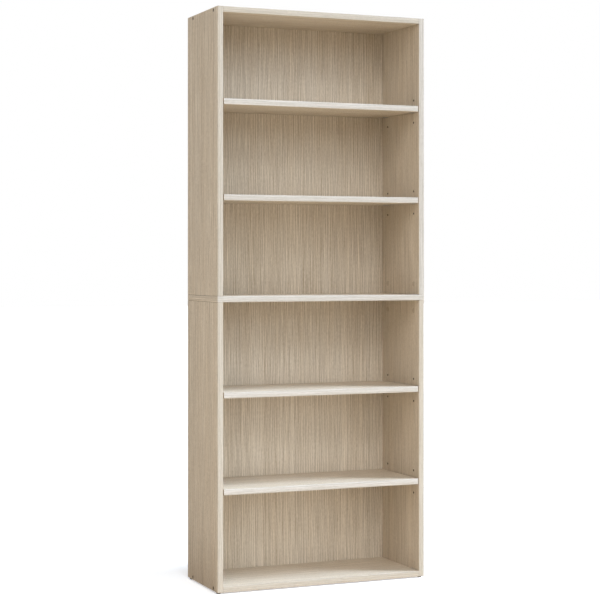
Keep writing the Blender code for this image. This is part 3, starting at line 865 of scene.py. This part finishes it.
def make_cams_and_caps():
    """Cams in their pockets, under round cover caps on the inner faces."""
    low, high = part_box("cam_upper_right_front")
    cam_body = cam_mesh(centre_of("cam_bolt_right_front").x - low.x)
    cap_body = cap_mesh()
    for section in ("lower", "upper"):
        for side_name, side in SIDES.items():
            board_low, board_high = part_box(f"{section}_{side_name}_side")
            wall = board_low.x if side > 0 else board_high.x
            for column in COLUMNS:
                name = f"{section}_{side_name}_{column}"
                low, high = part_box(f"cam_{name}")
                middle = (low + high) / 2
                face = low.x if side > 0 else high.x
                facing = Matrix.Rotation(0 if side > 0 else pi, 4, "Z")
                roll = Matrix.Rotation(0 if section == "lower" else pi, 4, "X")
                place = (face, middle.y, middle.z)
                cam = place_mesh(f"cam_lock_{name}", cam_body, place, (facing @ roll).to_euler())
                hand_over(cam, f"cam_{name}", "case")
                place = (wall, middle.y, middle.z)
                cap = place_mesh(f"cover_cap_{name}", cap_body, place, facing.to_euler())
                hand_over(cap, None, "case")


def make_bolts():
    """Double-ended bolts: a head and a neck at each end and rings where they grip the panel."""
    low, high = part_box("cam_bolt_right_front")
    tip = (high.z - low.z) / 2
    rim = BOLT_RADIUS - BOLT_EDGE
    head_end = tip - BOLT_HEAD_LENGTH
    upper = [(0, tip), (rim, tip), (BOLT_RADIUS, tip - BOLT_EDGE), (BOLT_RADIUS, head_end + BOLT_EDGE),
             (rim, head_end), (BOLT_NECK_RADIUS, tip - BOLT_NECK_START),
             (BOLT_NECK_RADIUS, tip - BOLT_NECK_END), (rim, tip - 0.009), (BOLT_RADIUS, tip - 0.0094)]
    for ring in range(BOLT_RINGS):
        z = BOLT_GRIP_START - ring * RING_PITCH
        upper += [(BOLT_RADIUS, z), (rim, z - 0.0003), (BOLT_RADIUS, z - 0.0006)]
    profile = upper + [(radius, -height) for radius, height in reversed(upper)]
    mesh = bpy.data.meshes.new("cam_bolt")
    bm = turned(profile, 28)
    bm.to_mesh(mesh)
    bm.free()
    mesh.materials.append(STEEL)
    shade(mesh)
    for side_name in SIDES:
        for column in COLUMNS:
            node = f"cam_bolt_{side_name}_{column}"
            bolt = place_mesh(f"double_bolt_{side_name}_{column}", mesh, centre_of(node), (0, 0, 0))
            hand_over(bolt, node, "case")


DOWEL_CHAMFER = 0.001
FLUTES = 16
FLUTE_DEPTH = 0.00028


def dowel_mesh(length, radius):
    """A fluted dowel about Z with chamfered ends."""
    half = length / 2
    end_radius = radius - DOWEL_CHAMFER
    profile = [(0, half), (end_radius, half), (radius, half - DOWEL_CHAMFER)]
    profile += [(radius, -half + DOWEL_CHAMFER), (end_radius, -half), (0, -half)]

    def flutes(reach, height, angle):
        notch = max(0.0, cos(angle * FLUTES)) ** 2
        return reach - FLUTE_DEPTH * notch

    bm = turned(profile, 96, flutes)
    mesh = bpy.data.meshes.new("dowel")
    bm.to_mesh(mesh)
    bm.free()
    mesh.materials.append(BEECH)
    shade(mesh, 50)
    return mesh


def make_dowels():
    for level in ("bottom", "middle", "top"):
        low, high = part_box(f"dowel_{level}_right")
        upright = level == "middle"
        length = high.z - low.z if upright else high.x - low.x
        mesh = dowel_mesh(length, (high.y - low.y) / 2)
        for side_name in SIDES:
            node = f"dowel_{level}_{side_name}"
            turn = (0, 0, 0) if upright else (0, pi / 2, 0)
            dowel = place_mesh(f"fluted_dowel_{level}_{side_name}", mesh, centre_of(node), turn)
            hand_over(dowel, node, "case")


NAIL_RADIUS = 0.001
NAIL_TIP_LENGTH = 0.0024
SOLE_EDGE = 0.0022


def make_glides():
    """Nail-on glides: a domed plastic button, with its steel nail up in the board."""
    low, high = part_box("foot_right_front")
    radius = (high.x - low.x) / 2
    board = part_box("lower_right_side")[0].z
    height = high.z - low.z
    top = board - GAP
    sole = [(0, 0), (radius - 0.0032, 0)] + arc((radius - 0.0026, SOLE_EDGE), SOLE_EDGE, -80, 0, 6)
    profile = [(0, height), (0.0003, height - 0.0001), (NAIL_RADIUS, height - NAIL_TIP_LENGTH),
               (NAIL_RADIUS, top), (radius - 0.0006, top), (radius - 0.0004, top - 0.0002)]
    profile += [(x, z) for x, z in reversed(sole)]
    bm = turned(profile, 40)
    mesh = bpy.data.meshes.new("glide")
    bm.to_mesh(mesh)
    bm.free()
    mesh.materials.append(BLACK)
    mesh.materials.append(STEEL)
    for face in mesh.polygons:
        face.material_index = 1 if face.center.z > top + TOUCH else 0
    shade(mesh)
    for side_name in SIDES:
        for column in COLUMNS:
            node = f"foot_{side_name}_{column}"
            middle = centre_of(node)
            place = (middle.x, middle.y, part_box(node)[0].z)
            glide = place_mesh(f"glide_{side_name}_{column}", mesh, place, (0, 0, 0))
            hand_over(glide, node, "case")


# ---------------------------------------------------------------- floor, light and camera

COOL = (0.65, 0.8, 1.0)
NEUTRAL = (0.9, 0.95, 1.0)
WARM = (1.0, 0.7, 0.5)
FLOOR_BOUNCE = (0.72, 0.55, 0.38)
FLOOR_SEEN = (0.9, 0.9, 0.9)
FLOOR_GLOW = 0.48


def add_floor():
    """A pale, faintly glowing floor to the camera, which gives the case warmer light back."""
    bm = bmesh.new()
    bmesh.ops.create_grid(bm, x_segments=1, y_segments=1, size=30)
    floor = make_object("floor", bm)
    material, nodes, shader = new_material("pale_floor")
    seen = nodes.add("ShaderNodeLightPath").outputs["Is Camera Ray"]
    nodes.link(nodes.mix(seen, FLOOR_BOUNCE, FLOOR_SEEN), shader.inputs["Base Color"])
    shader.inputs["Roughness"].default_value = 0.8
    shader.inputs["Emission Color"].default_value = (1, 1, 1, 1)
    nodes.link(nodes.math("MULTIPLY", seen, FLOOR_GLOW), shader.inputs["Emission Strength"])
    floor.data.materials.append(material)


def add_sun(name, azimuth, elevation, softness, strength, colour):
    """A broad, distant light. Azimuth 0 stands in front of the open side, and 90 to its right."""
    data = bpy.data.lights.new(name, "SUN")
    data.energy = strength
    data.angle = radians(softness)
    data.color = colour
    light = bpy.data.objects.new(name, data)
    light.rotation_euler = (radians(90 - elevation), 0, radians(azimuth))
    bpy.context.scene.collection.objects.link(light)


def add_softbox(name, place, aim, size, power, colour):
    """A near rectangular light, out of the camera's sight."""
    data = bpy.data.lights.new(name, "AREA")
    data.shape = "RECTANGLE"
    data.size, data.size_y = size
    data.energy = power
    data.color = colour
    light = bpy.data.objects.new(name, data)
    light.location = place
    light.rotation_euler = (Vector(aim) - Vector(place)).to_track_quat("-Z", "Y").to_euler()
    light.visible_camera = False
    bpy.context.scene.collection.objects.link(light)


def add_world(lighting, colour, backdrop):
    """Lights the case evenly, and shows the camera a plain white backdrop instead."""
    world = bpy.data.worlds.new("studio")
    world.use_nodes = True
    nodes = Nodes(world.node_tree)
    surround = world.node_tree.nodes["Background"]
    surround.inputs["Strength"].default_value = lighting
    surround.inputs["Color"].default_value = (*colour, 1)
    screen = nodes.add("ShaderNodeBackground")
    screen.inputs["Strength"].default_value = backdrop
    screen.inputs["Color"].default_value = (1, 1, 1, 1)
    mix = nodes.add("ShaderNodeMixShader")
    nodes.link(nodes.add("ShaderNodeLightPath").outputs["Is Camera Ray"], mix.inputs[0])
    nodes.link(surround.outputs[0], mix.inputs[1])
    nodes.link(screen.outputs[0], mix.inputs[2])
    nodes.link(mix.outputs[0], world.node_tree.nodes["World Output"].inputs["Surface"])
    bpy.context.scene.world = world


def add_camera():
    data = bpy.data.cameras.new("camera")
    data.lens = LENS
    data.sensor_width = 36
    data.shift_y = SHIFT_Y
    camera = bpy.data.objects.new("camera", data)
    camera.location = CAMERA_PLACE
    camera.rotation_euler = (pi / 2, 0, radians(CAMERA_YAW))
    bpy.context.scene.collection.objects.link(camera)
    bpy.context.scene.camera = camera


make_boards()
make_backs()
make_supports()
make_screws()
make_cams_and_caps()
make_bolts()
make_dowels()
make_glides()
add_floor()
add_world(0.35, NEUTRAL, 1.0)
add_sun("key_high", 70, 48, 14, 3.0, COOL)
add_sun("key_low", 62, 34, 14, 2.0, COOL)
add_sun("front_low", -5, 15, 18, 0.4, NEUTRAL)
add_sun("front", -5, 33, 18, 0.8, NEUTRAL)
add_sun("front_left", -40, 32, 30, 0.25, WARM)
add_softbox("low_front", (0, -0.9, 0.4), (0, 0.1, 0.3), (1.6, 0.5), 1.5, NEUTRAL)
add_softbox("upper_left", (-1.8, -1.4, 2.2), (0, 0, 1.0), (1.2, 1.2), 12, NEUTRAL)
add_softbox("upper_front", (1.0, -2.2, 2.6), (0, 0, 1.4), (1.0, 1.0), 6, COOL)
add_camera()
bpy.context.scene.view_settings.view_transform = "Standard"
